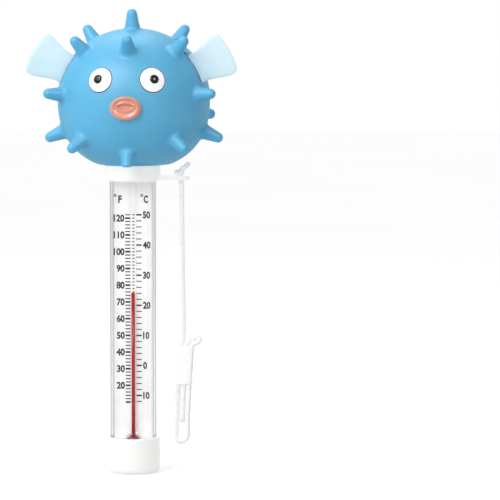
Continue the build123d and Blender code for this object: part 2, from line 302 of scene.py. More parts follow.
def clear_material(name, clear, edge, band, gloss_share):
    """Clear wall: see-through, greyer where it is seen edge on, with a glossy surface.

    clear and edge are how much light gets through, and band is where one turns into the other.
    Light on its way to what is inside passes whole, as a thin wall bends it but hardly stops it.
    """
    material, tree, shader = node_material(name)
    tree.nodes.remove(shader)
    see = tree.nodes.new("ShaderNodeBsdfTransparent")
    facing = new_node(tree, "LayerWeight", {"Blend": 0.5})
    ramp = ramp_node(tree, band, [(value, value, value, 1) for value in (clear, edge)])
    ray = tree.nodes.new("ShaderNodeLightPath")
    lit = tree.nodes.new("ShaderNodeMix")
    lit.data_type = "RGBA"
    lit.inputs["B"].default_value = (1, 1, 1, 1)
    shine = new_node(tree, "BsdfGlossy", {"Roughness": 0.06})
    grain(tree, shine, 220, 0.04, 0.0002, 3.0)
    fresnel = new_node(tree, "Fresnel", {"IOR": 1.45})
    share = product_node(tree, gloss_share)
    link(facing, "Facing", ramp, "Fac")
    link(ray, "Is Shadow Ray", lit, "Factor")
    link(ramp, "Color", lit, "A")
    link(lit, "Result", see, "Color")
    link(fresnel, "Fac", share, 0)
    link(share, "Value", mixed(tree, see, shine), "Fac")
    return material


def film_material():
    """Milky shrink film, which lets the cord under it show faintly."""
    material, tree, shader = node_material("sleeve film")
    vary_colour(tree, shader, linear(214, 214, 214), linear(222, 222, 222), 400)
    grain(tree, shader, 500, 0.2, 0.0003)
    mixed(tree, tree.nodes.new("ShaderNodeBsdfTransparent"), shader, 0.75)
    # painted glow: emission lifts the film's shaded side
    return milky(tuned(material, {"Roughness": 0.3}), 0.3)


def cord_material():
    """White braided yarn with a fine fibre bump."""
    material, tree, shader = node_material("braided cord")
    vary_colour(tree, shader, linear(206, 206, 205), linear(218, 218, 217), 700)
    grain(tree, shader, 5000, 0.25, 0.0001, 4.0)
    # painted glow: emission lifts the cord's shaded side
    return milky(tuned(material, {"Roughness": 0.8, "Sheen Weight": 0.3}), 0.25)


def spirit_material(name, low, high):
    """Red spirit seen through glass."""
    material, tree, shader = node_material(name)
    vary_colour(tree, shader, low, high, 500)
    vary_roughness(tree, shader, 0.12, 0.2, 500)
    return material


def steel_material():
    """Plated steel with fine turned marks."""
    material, tree, shader = node_material("ballast steel")
    vary_colour(tree, shader, linear(170, 170, 172), linear(190, 190, 190), 300)
    vary_roughness(tree, shader, 0.25, 0.4, 900)
    return tuned(material, {"Metallic": 1.0})


VINYL = vinyl_material()
FIN = fin_material()
EYE_WHITE = plastic_material(
    "eye white", linear(236, 236, 236), linear(240, 240, 240), 0.18, 0.01
)
# painted glow: emission lifts the eye white's shaded side
milky(EYE_WHITE, 0.2)
EYE_LINE = plastic_material("eye line", linear(24, 40, 52), linear(30, 46, 58), 0.4)
# painted shadow: dark blue for the shaded gap round each fin slot
SLOT_SHADE = plastic_material("slot painted shadow", linear(22, 58, 84), linear(28, 66, 94), 0.6)
PUPIL = plastic_material("pupil black", linear(2, 2, 2), linear(6, 6, 6), 0.04, 0.005)
tuned(PUPIL, {"Specular IOR Level": 0.4})
CORAL = plastic_material("lip coral", linear(218, 140, 115), linear(224, 149, 125), 0.3)
CORAL_GLOSS = {
    "Sheen Weight": 1.0,
    "Sheen Roughness": 0.25,
    "Coat Weight": 0.6,
    "Coat Roughness": 0.15,
}
tuned(CORAL, CORAL_GLOSS)
WHITE = plastic_material("cap white", linear(188, 188, 186), linear(194, 194, 192), 0.32)
# painted glow: emission lifts the caps' shaded sides
milky(WHITE, 0.42)
HOLDER = plastic_material("holder white", linear(232, 232, 230), linear(238, 238, 236), 0.45)
RUBBER = plastic_material("seal rubber", linear(214, 214, 208), linear(222, 222, 216), 0.55, 0.08)
FOAM = plastic_material("cushion foam", linear(230, 230, 226), linear(240, 240, 236), 0.85, 0.6)
CARD = plastic_material("scale card", linear(210, 210, 210), linear(220, 220, 220), 0.6, 0.05)
# painted glow: emission lifts the card's shaded side
milky(CARD, 0.3)
INK = plastic_material("printed ink", linear(14, 14, 14), linear(22, 22, 22), 0.5)
CLEAR = clear_material("clear tube", 0.993, 0.8, (0.5, 0.66), 0.1)
GLASS = clear_material("stem glass", 0.997, 0.9, (0.7, 0.95), 0.15)
FILM = film_material()
CORD = cord_material()
SPIRIT = spirit_material("red spirit", linear(172, 16, 26), linear(186, 26, 34))
# painted shade: a darker copy of the red spirit for the bulb, standing in for the dark edges that
# the glass bends into it
SHADED_SPIRIT = spirit_material("red spirit painted darker", linear(126, 10, 20), linear(142, 14, 26))
STEEL = steel_material()


def dress(material, *nodes):
    """Give CAD nodes their material."""
    for node in nodes:
        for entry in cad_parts[node].material_slots:
            entry.material = material


# ------------ camera, floor and light
CAMERA_DISTANCE = 1.275
CAMERA_AZIMUTH = 6.3
CAMERA_HEIGHT = 0.1894
AXIS_AT = -0.2346  # where the tube's axis stands, across from the frame's centre, in frame widths
HORIZON_AT = 0.3822  # how far above the centre the horizon is
LENS = 200.8
SENSOR = 36.0
CLIP = (0.01, 30)
FLOOR_SIDE = 6000
FLOOR_GLOW = 0.4
# axis, where the walls start to darken along it, where they are darkest, and how bright there
WALLS = [("Z", 0.16, 0.42, 0.8), ("X", 0.15, 0.7, 0.7), ("Y", -0.1, -0.6, 0.85)]
SUN_POWER = 1.15
SUN_SPREAD = 50  # degrees
SUN_RUN = (0.7, 0.6, -0.75)  # the way its light travels
# place and size in metres, and power in watts, of the soft lamps
SOFT_LAMPS = {
    "top": ((-0.1, 0.42, 0.95), 0.5, 2.2),
    "front": ((-0.42, -1.05, 0.6), 0.42, 3.4),
}
SOFT_AIM = (0, 0, 0.17)
# azimuth and elevation of the lamps that make the pupils glint
GLINT_LAMPS = {"glint left": (-27, 42), "glint right": (35, 28.5)}
GLINT_AIM = (0, 0, 0.18)
GLINT_DISTANCE = 0.8
GLINT_SIZE = 0.25
GLINT_POWER = 2.4
CLEAR_LAYERS = 32  # see-through surfaces that one ray may pass


def make_camera():
    """Long lens a little above the object's top, turned so that the object stands at the left."""
    focal = LENS / SENSOR
    azimuth = math.radians(CAMERA_AZIMUTH)
    yaw = math.atan(AXIS_AT / focal)
    pitch = math.atan(HORIZON_AT / focal)
    camera = in_scene("camera", bpy.data.cameras.new("camera"))
    camera.data.lens = LENS
    camera.data.sensor_width = SENSOR
    camera.data.clip_start, camera.data.clip_end = CLIP
    x = CAMERA_DISTANCE * math.sin(azimuth)
    y = -CAMERA_DISTANCE * math.cos(azimuth)
    camera.location = (x, y, CAMERA_HEIGHT)
    camera.rotation_euler = (math.pi / 2 - pitch, 0, azimuth + yaw)
    bpy.context.scene.camera = camera


def make_floor():
    """Plain pale floor, which looks as white as the walls but throws less light up."""
    material, tree, shader = node_material("floor")
    vary_colour(tree, shader, linear(198, 198, 198), linear(202, 202, 202), 3)
    fill(shader, {"Roughness": 0.9, "Emission Color": (1, 1, 1, 1)})
    ray = tree.nodes.new("ShaderNodeLightPath")
    strength = product_node(tree, FLOOR_GLOW)
    link(ray, "Is Camera Ray", strength, 0)
    link(strength, "Value", shader, "Emission Strength")
    side = FLOOR_SIDE
    points = [(-side, -side, 0), (side, -side, 0), (side, side, 0), (-side, side, 0)]
    floor = new_object("floor", points, [(0, 1, 2, 3)], material, smooth=False)


def area_light(name, place_at, aim, size, power):
    """Square soft light."""
    light = in_scene(name, bpy.data.lights.new(name, "AREA"))
    light.data.size = size
    light.data.energy = power
    light.location = place_at
    direction = Vector(aim) - Vector(place_at)
    light.rotation_euler = direction.to_track_quat("-Z", "Y").to_euler()
    return light


def glint_light(name, azimuth, elevation):
    """Lamp that only glossy surfaces show, as the pupils do."""
    turn, tilt = math.radians(azimuth), math.radians(elevation)
    reach = GLINT_DISTANCE * math.cos(tilt)
    height = GLINT_AIM[2] + GLINT_DISTANCE * math.sin(tilt)
    place_at = (reach * math.sin(turn), -reach * math.cos(turn), height)
    lamp = area_light(name, place_at, GLINT_AIM, GLINT_SIZE, GLINT_POWER)
    lamp.visible_diffuse = False


def make_world():
    """White walls, darker above, to the right and behind the camera, as in a light tent."""
    world = bpy.data.worlds.new("studio")
    bpy.context.scene.world = world
    world.use_nodes = True
    tree = world.node_tree
    coordinates = tree.nodes.new("ShaderNodeTexCoord")
    split = tree.nodes.new("ShaderNodeSeparateXYZ")
    link(coordinates, "Generated", split, "Vector")
    shade = None
    for axis, start, end, value in WALLS:
        span = {"From Min": start, "From Max": end, "To Min": 1.0, "To Max": value}
        fade = new_node(tree, "MapRange", span)
        fade.interpolation_type = "SMOOTHSTEP"
        link(split, axis, fade, "Value")
        if shade is None:
            shade = fade.outputs["Result"]
            continue
        both = product_node(tree)
        tree.links.new(shade, both.inputs[0])
        link(fade, "Result", both, 1)
        shade = both.outputs["Value"]
    tree.links.new(shade, tree.nodes["Background"].inputs["Color"])


def make_light():
    """A broad sun from the upper left, soft lamps above and in front, and two glints."""
    bpy.context.scene.view_settings.view_transform = "Standard"
    make_world()
    sun = in_scene("key", bpy.data.lights.new("key", "SUN"))
    sun.data.energy = SUN_POWER
    sun.data.angle = math.radians(SUN_SPREAD)
    sun.rotation_euler = Vector(SUN_RUN).to_track_quat("-Z", "Y").to_euler()
    for name, (place_at, size, power) in SOFT_LAMPS.items():
        area_light(name, place_at, SOFT_AIM, size, power)
    for name, (azimuth, elevation) in GLINT_LAMPS.items():
        glint_light(name, azimuth, elevation)
    bpy.context.scene.cycles.transparent_max_bounces = CLEAR_LAYERS


make_camera()
make_floor()
make_light()

# ------------ the tether cord
TAB_TOP = 136.15
CORD_ROUTE = [
    (22.3, 0, TAB_TOP),
    (22.45, 0, 98.4),
    (23.1, 0, 70.4),
    (23.0, -0.2, 62.4),
    (22.4, -0.8, 59.0),
]
HANK_X = [(59.4, 24.4), (40.4, 23.15), (26.4, 22.6), (14.4, 22.15)]  # height, middle of the hank
LAYER = 1.22  # the hank's strands lie this far in front of its middle and behind it
LEG = 2.55  # and this far to each side of it
EYE_Z = 17.0  # the loop at the foot starts below this height
BIGHT_Z = 25.6
TOP_Z = 56.0
BIGHT_FROM_Z = 57.9
BIGHT_TO_Z = 58.0
# height that gives the fold's middle, and how far the fold rises or drops
EYE_FOLD = (15.4, LEG + 0.1)
LOW_FOLD = (24.4, 1.7)
TOP_FOLD = (57.4, 1.6)
WANDER = (0.1, 0.08)  # across and in depth
BIGHT = [
    (27.7, -1.2, 59.4), (29.0, -1.0, 59.7), (30.1, -0.8, 60.2), (30.6, -0.5, 61.2),
    (30.2, -0.2, 62.1), (29.2, -0.1, 62.4), (28.0, -0.2, 62.0), (26.6, -0.5, 61.1),
    (25.3, -0.9, 60.0),
]
BRAID_ROWS = 14  # points along the cord for each turn of a strand
STRAND_SHARE = 0.165  # a strand's radius, of the cord's diameter
STRAND_SINK = 0.85  # how far the strands' middles lie inside the cord's outline, in strand radii
STRAND_WEAVE = 0.3
STRAND_WIDE = 1.45
STRAND_TALL = 0.95
END_TAPER = (0.6, 0.35)  # length over which an end narrows, and to what share
# the knot's heights are above the tab
KNOT_START = [(22.3, 0, 0.2), (22.5, 0.2, 0.8)]
KNOT_MIDDLE = (21.3, 0.1, 1.1)
KNOT_TURN = (1.45, 1.15)
KNOT_STEPS = 11
KNOT_STEP = 31  # degrees
KNOT_RISE = 0.07
KNOT_TAIL = [(22.0, 0.1, 2.6), (23.3, 0.0, 3.6), (24.8, 0, 4.8), (26.2, 0, 6.0)]
KNOT_DIAMETER = 2.1
SLEEVE_HALF_WIDTHS = (4.0, 3.6)  # at its foot and at its top
SLEEVE_HALF_DEPTH = 2.68
SLEEVE_WALL = 0.12
SLEEVE_POWERS = (0.62, 0.7)
CREASES = [(0.05, 3, 0.8), (0.04, 7, -1.7)]  # depth, number round the sleeve, lean


def hank_centre(z):
    """The folded cord leans, so its middle shifts with height."""
    heights, middles = zip(*HANK_X[::-1])
    return float(np.interp(z, heights, middles))


def leg(z_from, z_to, offset, y, steps):
    """Points along one strand of the hank, with a little wander."""
    out = []
    for step in range(steps + 1):
        z = z_from + (z_to - z_from) * step / steps
        sway = WANDER[0] * math.sin(0.35 * z + 3 * offset)
        depth = WANDER[1] * math.cos(0.4 * z + offset)
        out.append((hank_centre(z) + offset + sway, y + depth, z))
    return out


def fold(centre, across, radius, up, steps):
    """Points of a half turn between two strands; up is 1 at the top and -1 at the foot."""
    out = []
    for step in range(1, steps):
        angle = math.pi * step / steps
        swing = -math.cos(angle)
        rise = up * radius * math.sin(angle)
        out.append(tuple(np.array(centre) + np.array(across) * swing + np.array([0, 0, rise])))
    return out


def hank_points():
    """Route of the folded length: down, round the eye, up, out in a bight, down, up and down."""
    points = leg(TOP_Z, EYE_Z, -LEG, -LAYER, 7)
    points += fold((hank_centre(EYE_FOLD[0]), -LAYER, EYE_Z), (LEG, 0, 0), EYE_FOLD[1], -1, 12)
    points += leg(EYE_Z, BIGHT_FROM_Z, LEG, -LAYER, 7)
    points += BIGHT
    points += leg(BIGHT_TO_Z, BIGHT_Z, 0.0, -LAYER, 6)
    points += fold((hank_centre(LOW_FOLD[0]), 0, BIGHT_Z), (0, LAYER, 0), LOW_FOLD[1], -1, 10)
    points += leg(BIGHT_Z, TOP_Z, 0.0, LAYER, 6)
    top_middle = (hank_centre(TOP_FOLD[0]) - LEG / 2, LAYER, TOP_Z)
    points += fold(top_middle, (-LEG / 2, 0, 0), TOP_FOLD[1], 1, 10)
    points += leg(TOP_Z, BIGHT_Z, -LEG, LAYER, 6)
    return points


def unit(vectors):
    """The same directions with length 1."""
    return vectors / np.linalg.norm(vectors, axis=-1)[..., None]


def curve_mesh(curve):
    """Points and faces of a curve or a text, which is used up."""
    holder = in_scene("holder", curve)
    bpy.context.view_layer.update()
    mesh = bpy.data.meshes.new_from_object(holder)
    points = np.array([tuple(vertex.co) for vertex in mesh.vertices])
    faces = [tuple(face.vertices) for face in mesh.polygons]
    bpy.data.objects.remove(holder)
    bpy.data.curves.remove(curve)
    bpy.data.meshes.remove(mesh)
    return points, faces


def spline_points(route):
    """Points along the smooth NURBS line of a route, in millimetres."""
    curve = bpy.data.curves.new("line", "CURVE")
    curve.dimensions = "3D"
    curve.resolution_u = 10
    spline = curve.splines.new("NURBS")
    spline.points.add(len(route) - 1)
    for target, point in zip(spline.points, route):
        target.co = (*(Vector(point) * MM), 1)
    spline.order_u = 3
    spline.use_endpoint_u = True
    points, _ = curve_mesh(curve)
    return points / MM


def evenly(points, step):
    """The same line with points a fixed distance apart."""
    runs = np.linalg.norm(np.diff(points, axis=0), axis=1)
    along = np.concatenate([[0], np.cumsum(runs)])
    count = max(int(round(along[-1] / step)), 2)
    wanted = np.linspace(0, along[-1], count + 1)
    return np.stack([np.interp(wanted, along, points[:, axis]) for axis in range(3)], axis=1)


def carried_frames(points):
    """Two directions across the line at each point, turned as little as possible."""
    tangents = unit(np.gradient(points, axis=0))
    firsts = [unit(np.cross(tangents[0], (0, 1, 0)))]
    for tangent in tangents[1:]:
        firsts.append(unit(firsts[-1] - tangent * np.dot(firsts[-1], tangent)))
    firsts = np.array(firsts)
    return firsts, np.cross(tangents, firsts)


def braid(name, points, diameter, strands=8, pitch=6.0, sides=6):
    """Round braid: half of the strands turn each way and weave over and under the others."""
    points = evenly(points, pitch / BRAID_ROWS)
    firsts, seconds = carried_frames(points)
    step = np.linalg.norm(points[1] - points[0])
    along = np.arange(len(points)) * step
    strand_radius = diameter * STRAND_SHARE
    lay_radius = diameter / 2 - strand_radius * STRAND_SINK
    taper = np.clip(np.minimum(along, along[::-1]) / END_TAPER[0], END_TAPER[1], 1)
    corners, faces = [], []
    for strand in range(strands):
        way = 1 if strand % 2 else -1
        start = 2 * math.pi * (strand // 2) / (strands // 2)
        turn = start + way * 2 * math.pi * along / pitch
        weave = np.sin(strands / 2 * turn * way + (0 if way > 0 else math.pi))
        radius = (lay_radius + STRAND_WEAVE * strand_radius * weave) * taper
        centre = points + firsts * (radius * np.cos(turn))[:, None]
        centre = centre + seconds * (radius * np.sin(turn))[:, None]
        outward = firsts * np.cos(turn)[:, None] + seconds * np.sin(turn)[:, None]
        sideways = unit(np.cross(unit(np.gradient(centre, axis=0)), outward))
        base = len(corners) * sides
        for row in range(len(points)):
            ring = []
            for side in range(sides):
                angle = 2 * math.pi * side / sides
                wide = STRAND_WIDE * strand_radius * math.cos(angle) * sideways[row]
                tall = STRAND_TALL * strand_radius * math.sin(angle) * outward[row]
                ring.append(centre[row] + (wide + tall) * taper[row])
            corners.append(ring)
        strand_faces = ring_faces(len(points), sides)
        faces += [tuple(index + base for index in face) for face in strand_faces]
    return new_object(name, np.concatenate(corners), faces, CORD), points


def make_tether():
    """Braided cord from under the knot to the end tucked into the hank."""
    line = spline_points(CORD_ROUTE + hank_points())
    cord, path = braid("tether_braid", line, CORD_DIAMETER)
    place(cord, "root", "cord_white", "tether_cord", "tether_hank")
    length = float(np.linalg.norm(np.diff(path, axis=0), axis=1).sum())
    knot = make_knot()
    sleeve = make_sleeve()


def make_knot():
    """Stopper knot on the tab: a tight turn with the cut end standing out of it."""
    route = list(KNOT_START)
    for step in range(1, KNOT_STEPS + 1):
        angle = math.radians(-10 - KNOT_STEP * step)
        x = KNOT_MIDDLE[0] + KNOT_TURN[0] * math.cos(angle)
        y = KNOT_MIDDLE[1] + KNOT_TURN[1] * math.sin(angle)
        route.append((x, y, KNOT_MIDDLE[2] + KNOT_RISE * step))
    route = [(x, y, TAB_TOP + height) for x, y, height in route + KNOT_TAIL]
    knot, _ = braid("tether_knot_braid", spline_points(route), KNOT_DIAMETER, pitch=5.0)
    return place(knot, "root", "cord_white", "tether_knot")


def make_sleeve():
    """Thin clear film shrunk round the folded cord, a little creased."""
    low, high = corner("hank_sleeve", 0), corner("hank_sleeve", 1)
    columns, rows = 64, 26
    rings = []
    for inner in (False, True):
        for row in range(rows):
            share = row / (rows - 1)
            z = low[2] + (high[2] - low[2]) * (1 - share if inner else share)
            half_wide = np.interp(z, (low[2], high[2]), SLEEVE_HALF_WIDTHS) - SLEEVE_WALL * inner
            half_deep = SLEEVE_HALF_DEPTH - SLEEVE_WALL * inner
            ring = []
            for column in range(columns):
                angle = 2 * math.pi * column / columns
                c, s = math.cos(angle), math.sin(angle)
                crease = sum(deep * math.sin(n * angle + lean * z) for deep, n, lean in CREASES)
                wide = math.copysign(abs(c) ** SLEEVE_POWERS[0], c)
                deep = math.copysign(abs(s) ** SLEEVE_POWERS[1], s)
                x = hank_centre(z) + (half_wide + crease) * wide
                ring.append((x, (half_deep + crease) * deep, z))
            rings.append(ring)
    faces = loop_faces(2 * rows, columns)
    sleeve = new_object("hank_sleeve_film", np.concatenate(rings), faces, FILM)
    return place(sleeve, "root", "sleeve_film", "hank_sleeve")


make_tether()


# ------------ the float's body
SPIKE_NEAR = 11  # a spike's field is only worked out this near its middle
SPIKE_BLEND = 1.7
SEAT_BLEND = 1.2
FLAT_BLEND = 0.8
SOCKET_BLEND = 0.9
SKIN_STEP = 0.62
MARGIN = 2
MARGIN_BELOW = 3


# height of the section, and the powers of its width and height, above and below its widest line
ABOVE = (CROWN_HEIGHT, 2.0, 2.0)
BELOW = (BELLY_DEPTH, 2.3, 2.4)


def body_terms(height):
    """The section's own height and its two powers, at a height above the widest line."""
    return [np.where(height >= 0, above, below) for above, below in zip(ABOVE, BELOW)]


def body_reach(height):
    """Radius of the body at a height above its widest line."""
    semi, across, up = (float(value) for value in body_terms(np.array(height)))
    return BODY_RADIUS * (1 - (abs(height) / semi) ** up) ** (1 / across)


def body_point(azimuth, height):
    """Point of the body's surface and the direction outwards."""
    semi, across, up = (float(value) for value in body_terms(np.array(height)))
    reach = body_reach(height)
    outward = across / BODY_RADIUS * (reach / BODY_RADIUS) ** (across - 1)
    upward = math.copysign(up / semi * (abs(height) / semi) ** (up - 1), height)
    angle = math.radians(azimuth)
    side = (math.sin(angle), -math.cos(angle))
    point = Vector((reach * side[0], BODY_BACK + reach * side[1], BELLY_Z + height))
    return point, Vector((outward * side[0], outward * side[1], upward)).normalized()


def body_field(points):
    """Roughly the distance outside the body, negative inside."""
    radial = np.hypot(points[..., 0], points[..., 1] - BODY_BACK)
    height = points[..., 2] - BELLY_Z
    semi, across, up = body_terms(height)
    wide = np.maximum(radial / BODY_RADIUS, 1e-6)
    tall = np.maximum(np.abs(height) / semi, 1e-6)
    value = wide**across + tall**up - 1
    slope = np.hypot(across / BODY_RADIUS * wide ** (across - 1), up / semi * tall ** (up - 1))
    return value / np.maximum(slope, 0.02)


def spike_field(points, root, tip):
    """Distance outside a rounded cone from root to tip."""
    axis = tip - root
    length2 = axis @ axis
    step = SPIKE_ROOT - SPIKE_TIP
    slant2 = length2 - step * step
    offset = points - root
    y = offset @ axis
    z = y - length2
    x2 = ((offset * length2 - y[..., None] * axis) ** 2).sum(-1)
    y2, z2 = y * y * length2, z * z * length2
    limit = step * step * x2
    side = (np.sqrt(x2 * slant2 / length2) + y * step) / length2 - SPIKE_ROOT
    tip_end = np.sqrt(x2 + z2) / length2 - SPIKE_TIP
    root_end = np.sqrt(x2 + y2) / length2 - SPIKE_ROOT
    out = np.where(np.sign(y) * slant2 * y2 < limit, root_end, side)
    return np.where(np.sign(z) * slant2 * z2 > limit, tip_end, out)


def blend_min(a, b, width):
    """The smaller of two fields with a rounded join."""
    share = np.maximum(width - np.abs(a - b), 0) / width
    return np.minimum(a, b) - share * share * width / 4


def spike_ends():
    """Root and tip centre of each spike."""
    ends = []
    for azimuth, height in SPIKES:
        point, outward = (np.array(v) for v in body_point(azimuth, height))
        ends.append((point - SPIKE_SINK * outward, point + (SPIKE_LENGTH - SPIKE_TIP) * outward))
    return ends


SPIKE_ENDS = spike_ends()


def float_field(points):
    """Body with its spikes, flat underside and round socket, with soft edges."""
    field = body_field(points)
    for root, tip in SPIKE_ENDS:
        near = np.linalg.norm(points - (root + tip) / 2, axis=-1) < SPIKE_NEAR
        cone = spike_field(points[near], root, tip)
        field[near] = blend_min(field[near], cone, SPIKE_BLEND)
    seat = np.hypot(points[..., 0], points[..., 1]) - SEAT_RADIUS
    seat = np.maximum(seat, points[..., 2] - FLAT_Z - SEAT_HEIGHT)
    field = blend_min(field, seat, SEAT_BLEND)
    field = -blend_min(-field, points[..., 2] - FLAT_Z, FLAT_BLEND)
    socket = np.hypot(points[..., 0], points[..., 1]) - SOCKET_RADIUS
    socket = np.maximum(socket, points[..., 2] - SOCKET_TOP)
    return -blend_min(-field, socket, SOCKET_BLEND)


def surface_net(field, low, step):
    """Quads round the zero surface of a grid of values."""
    inside = field < 0
    sums = np.zeros(tuple(n - 1 for n in field.shape) + (3,))
    counts = np.zeros(tuple(n - 1 for n in field.shape))
    faces = []
    index = np.full(counts.shape, -1)
    crossings = []
    for axis in range(3):
        first = tuple(slice(0, -1) if a == axis else slice(None) for a in range(3))
        second = tuple(slice(1, None) if a == axis else slice(None) for a in range(3))
        cut = np.argwhere(inside[first] != inside[second])
        va = field[first][tuple(cut.T)]
        vb = field[second][tuple(cut.T)]
        where = cut.astype(float)
        where[:, axis] += va / (va - vb)
        others = [a for a in range(3) if a != axis]
        for da in (0, 1):
            for db in (0, 1):
                cell = cut.copy()
                cell[:, others[0]] -= da
                cell[:, others[1]] -= db
                np.add.at(sums, tuple(cell.T), where)
                np.add.at(counts, tuple(cell.T), 1)
        crossings.append((axis, others, cut, va < 0))
    used = np.argwhere(counts > 0)
    index[tuple(used.T)] = np.arange(len(used))
    points = sums[tuple(used.T)] / counts[tuple(used.T)][:, None] * step + low
    for axis, others, cut, leaving in crossings:
        quad = []
        for da, db in ((0, 0), (1, 0), (1, 1), (0, 1)):
            cell = cut.copy()
            cell[:, others[0]] -= da
            cell[:, others[1]] -= db
            quad.append(index[tuple(cell.T)])
        quad = np.stack(quad, axis=1)
        flip = leaving if axis == 1 else ~leaving
        quad[flip] = quad[flip][:, ::-1]
        faces.append(quad)
    return points, np.concatenate(faces)


def settle(points, field, rounds=4, reach=0.02):
    """Move points onto the zero surface along the field's slope."""
    for _ in range(rounds):
        here = field(points)
        steps = reach * np.eye(3)
        slopes = [(field(points + step) - field(points - step)) / (2 * reach) for step in steps]
        slope = np.stack(slopes, axis=1)
        size2 = np.maximum((slope**2).sum(1), 0.05)
        points = points - np.clip(here / size2, -0.3, 0.3)[:, None] * slope
    return points


def make_body():
    """Skin of the float with its spikes."""
    step = SKIN_STEP
    reach = BODY_RADIUS + SPIKE_LENGTH + MARGIN
    top = BELLY_Z + CROWN_HEIGHT + SPIKE_LENGTH + MARGIN
    low = np.array([-reach, BODY_BACK - reach, FLAT_Z - MARGIN_BELOW])
    high = np.array([reach, BODY_BACK + reach, top])
    counts = np.ceil((high - low) / step).astype(int) + 1
    axes = [low[a] + step * np.arange(counts[a]) for a in range(3)]
    grid = np.stack(np.meshgrid(*axes, indexing="ij"), axis=-1)
    points, faces = surface_net(float_field(grid), low, step)
    points = settle(points, float_field)
    body = new_object("float_skin", points, faces, VINYL)
    place(body, "float", "vinyl_blue", "float_shell")


make_body()


# ------------ face
def on_plane(point, outward, shift=0.0):
    """Matrix from a flat piece's own axes to the frame: x across, y up, z outwards."""
    z = outward.normalized()
    x = Vector((0, 0, 1)).cross(z).normalized()
    y = z.cross(x)
    matrix = Matrix((x, y, z)).transposed().to_4x4()
    matrix.translation = point + x * shift
    return matrix


def moved(points, matrix):
    """Points carried by a matrix."""
    return np.array([tuple(matrix @ Vector(point)) for point in points])


EYE_AT = (20.6, 8.5)  # azimuth and height above the widest line
EYE_RADIUS = 5.95
EYE_DOME = 1.7
EYE_DROP = 0.5
DOME_RADII = (0.02, 0.8, 1.6, 2.4, 3.2, 4.0, 4.7, 5.2, 5.45, 5.58)
PUPIL_SHIFT = 0.5
PUPIL_SINK = 0.18
PUPIL_RADIUS = 2.08
PUPIL_DOME = 0.75
PUPIL_ROWS = 8


def dome_height(radius):
    """Height of the eye's dome above its rim."""
    sphere = (EYE_RADIUS**2 + EYE_DOME**2) / (2 * EYE_DOME)
    return math.sqrt(sphere**2 - radius**2) - (sphere - EYE_DOME)


def make_eye(side, name):
    """Domed white disc with a dark edge, and its raised pupil."""
    point, outward = body_point(side * EYE_AT[0], EYE_AT[1])
    rim = on_plane(point - outward * EYE_DROP, outward)
    dark_edge = [(EYE_RADIUS, -0.85), (EYE_RADIUS, -0.16), (5.9, 0.02)]
    dark_edge.append((5.75, dome_height(5.7) - 0.06))
    points, faces = turned(dark_edge + [(r, dome_height(r)) for r in DOME_RADII[::-1]])
    eye = new_object(f"eye_{name}", moved(points, rim), faces, EYE_WHITE)
    eye.data.materials.append(EYE_LINE)
    for face in eye.data.polygons:
        row = min(face.vertices) // FACE_SIDES
        if row < len(dark_edge) and len(face.vertices) == 4:
            face.material_index = 1
    place(eye, "float", "eye_white", f"eye_white_{name}")
    rise = dome_height(PUPIL_SHIFT) - PUPIL_SINK
    seat = on_plane(point - outward * (EYE_DROP - rise), outward, side * PUPIL_SHIFT)
    profile = [(PUPIL_RADIUS, -0.5), (PUPIL_RADIUS, 0.02)]
    for row in range(1, PUPIL_ROWS):
        angle = math.radians(90 * row / PUPIL_ROWS)
        profile.append((PUPIL_RADIUS * math.cos(angle), 0.02 + PUPIL_DOME * math.sin(angle)))
    profile.append((0.02, 0.02 + PUPIL_DOME))
    points, faces = turned(profile, 64)
    pupil = new_object(f"pupil_{name}_dot", moved(points, seat), faces, PUPIL)
    place(pupil, "float", "pupil_black", f"pupil_{name}")


make_eye(-1, "left")
make_eye(1, "right")

LIP_HEIGHT = -4.2
LIP_HALF_WIDTH = 7.2
LIP_HALF_HEIGHT = 5.4
LIP_LIFT = 0.8  # the opening stands this much above the middle
ROLL_SHARE = 0.7  # inside this share the rings get flatter
FLATTENING = 1.8
# share of the mouth's size, height above the body
LIP_PROFILE = [
    (1.0, -1.1), (1.0, 0.2), (0.99, 0.95), (0.965, 1.6), (0.925, 2.1), (0.875, 2.4),
    (0.82, 2.5), (0.76, 2.42), (0.71, 2.18), (0.67, 1.9), (0.635, 1.78), (0.6, 1.86),
    (0.57, 2.02), (0.54, 2.04), (0.515, 1.86), (0.495, 1.5), (0.47, 1.15), (0.43, 0.98),
    (0.34, 0.92), (0.2, 0.9), (0.01, 0.9),
]


def make_lips():
    """Rolled oval mouth with an inner lip round a flat opening."""
    point, outward = body_point(0, LIP_HEIGHT)
    seat = on_plane(point, outward)
    columns = FACE_SIDES
    rings = []
    for share, height in LIP_PROFILE:
        wide = LIP_HALF_WIDTH * share
        power = 1.0 + FLATTENING * max(ROLL_SHARE - share, 0) / 0.3
        tall = LIP_HALF_HEIGHT * share**power
        lift = LIP_LIFT * (1 - share) / 0.5 if share > 0.5 else LIP_LIFT
        ring = []
        for column in range(columns):
            angle = 2 * math.pi * column / columns
            x = wide * math.cos(angle)
            y = tall * math.sin(angle) + lift
            ring.append((x, y, height - x * x / (2 * BODY_RADIUS)))
        rings.append(ring)
    faces = ring_faces(len(rings), columns)
    lips = new_object("lips_rolled", moved(np.concatenate(rings), seat), faces, CORAL)
    place(lips, "float", "lip_coral", "lips")


make_lips()

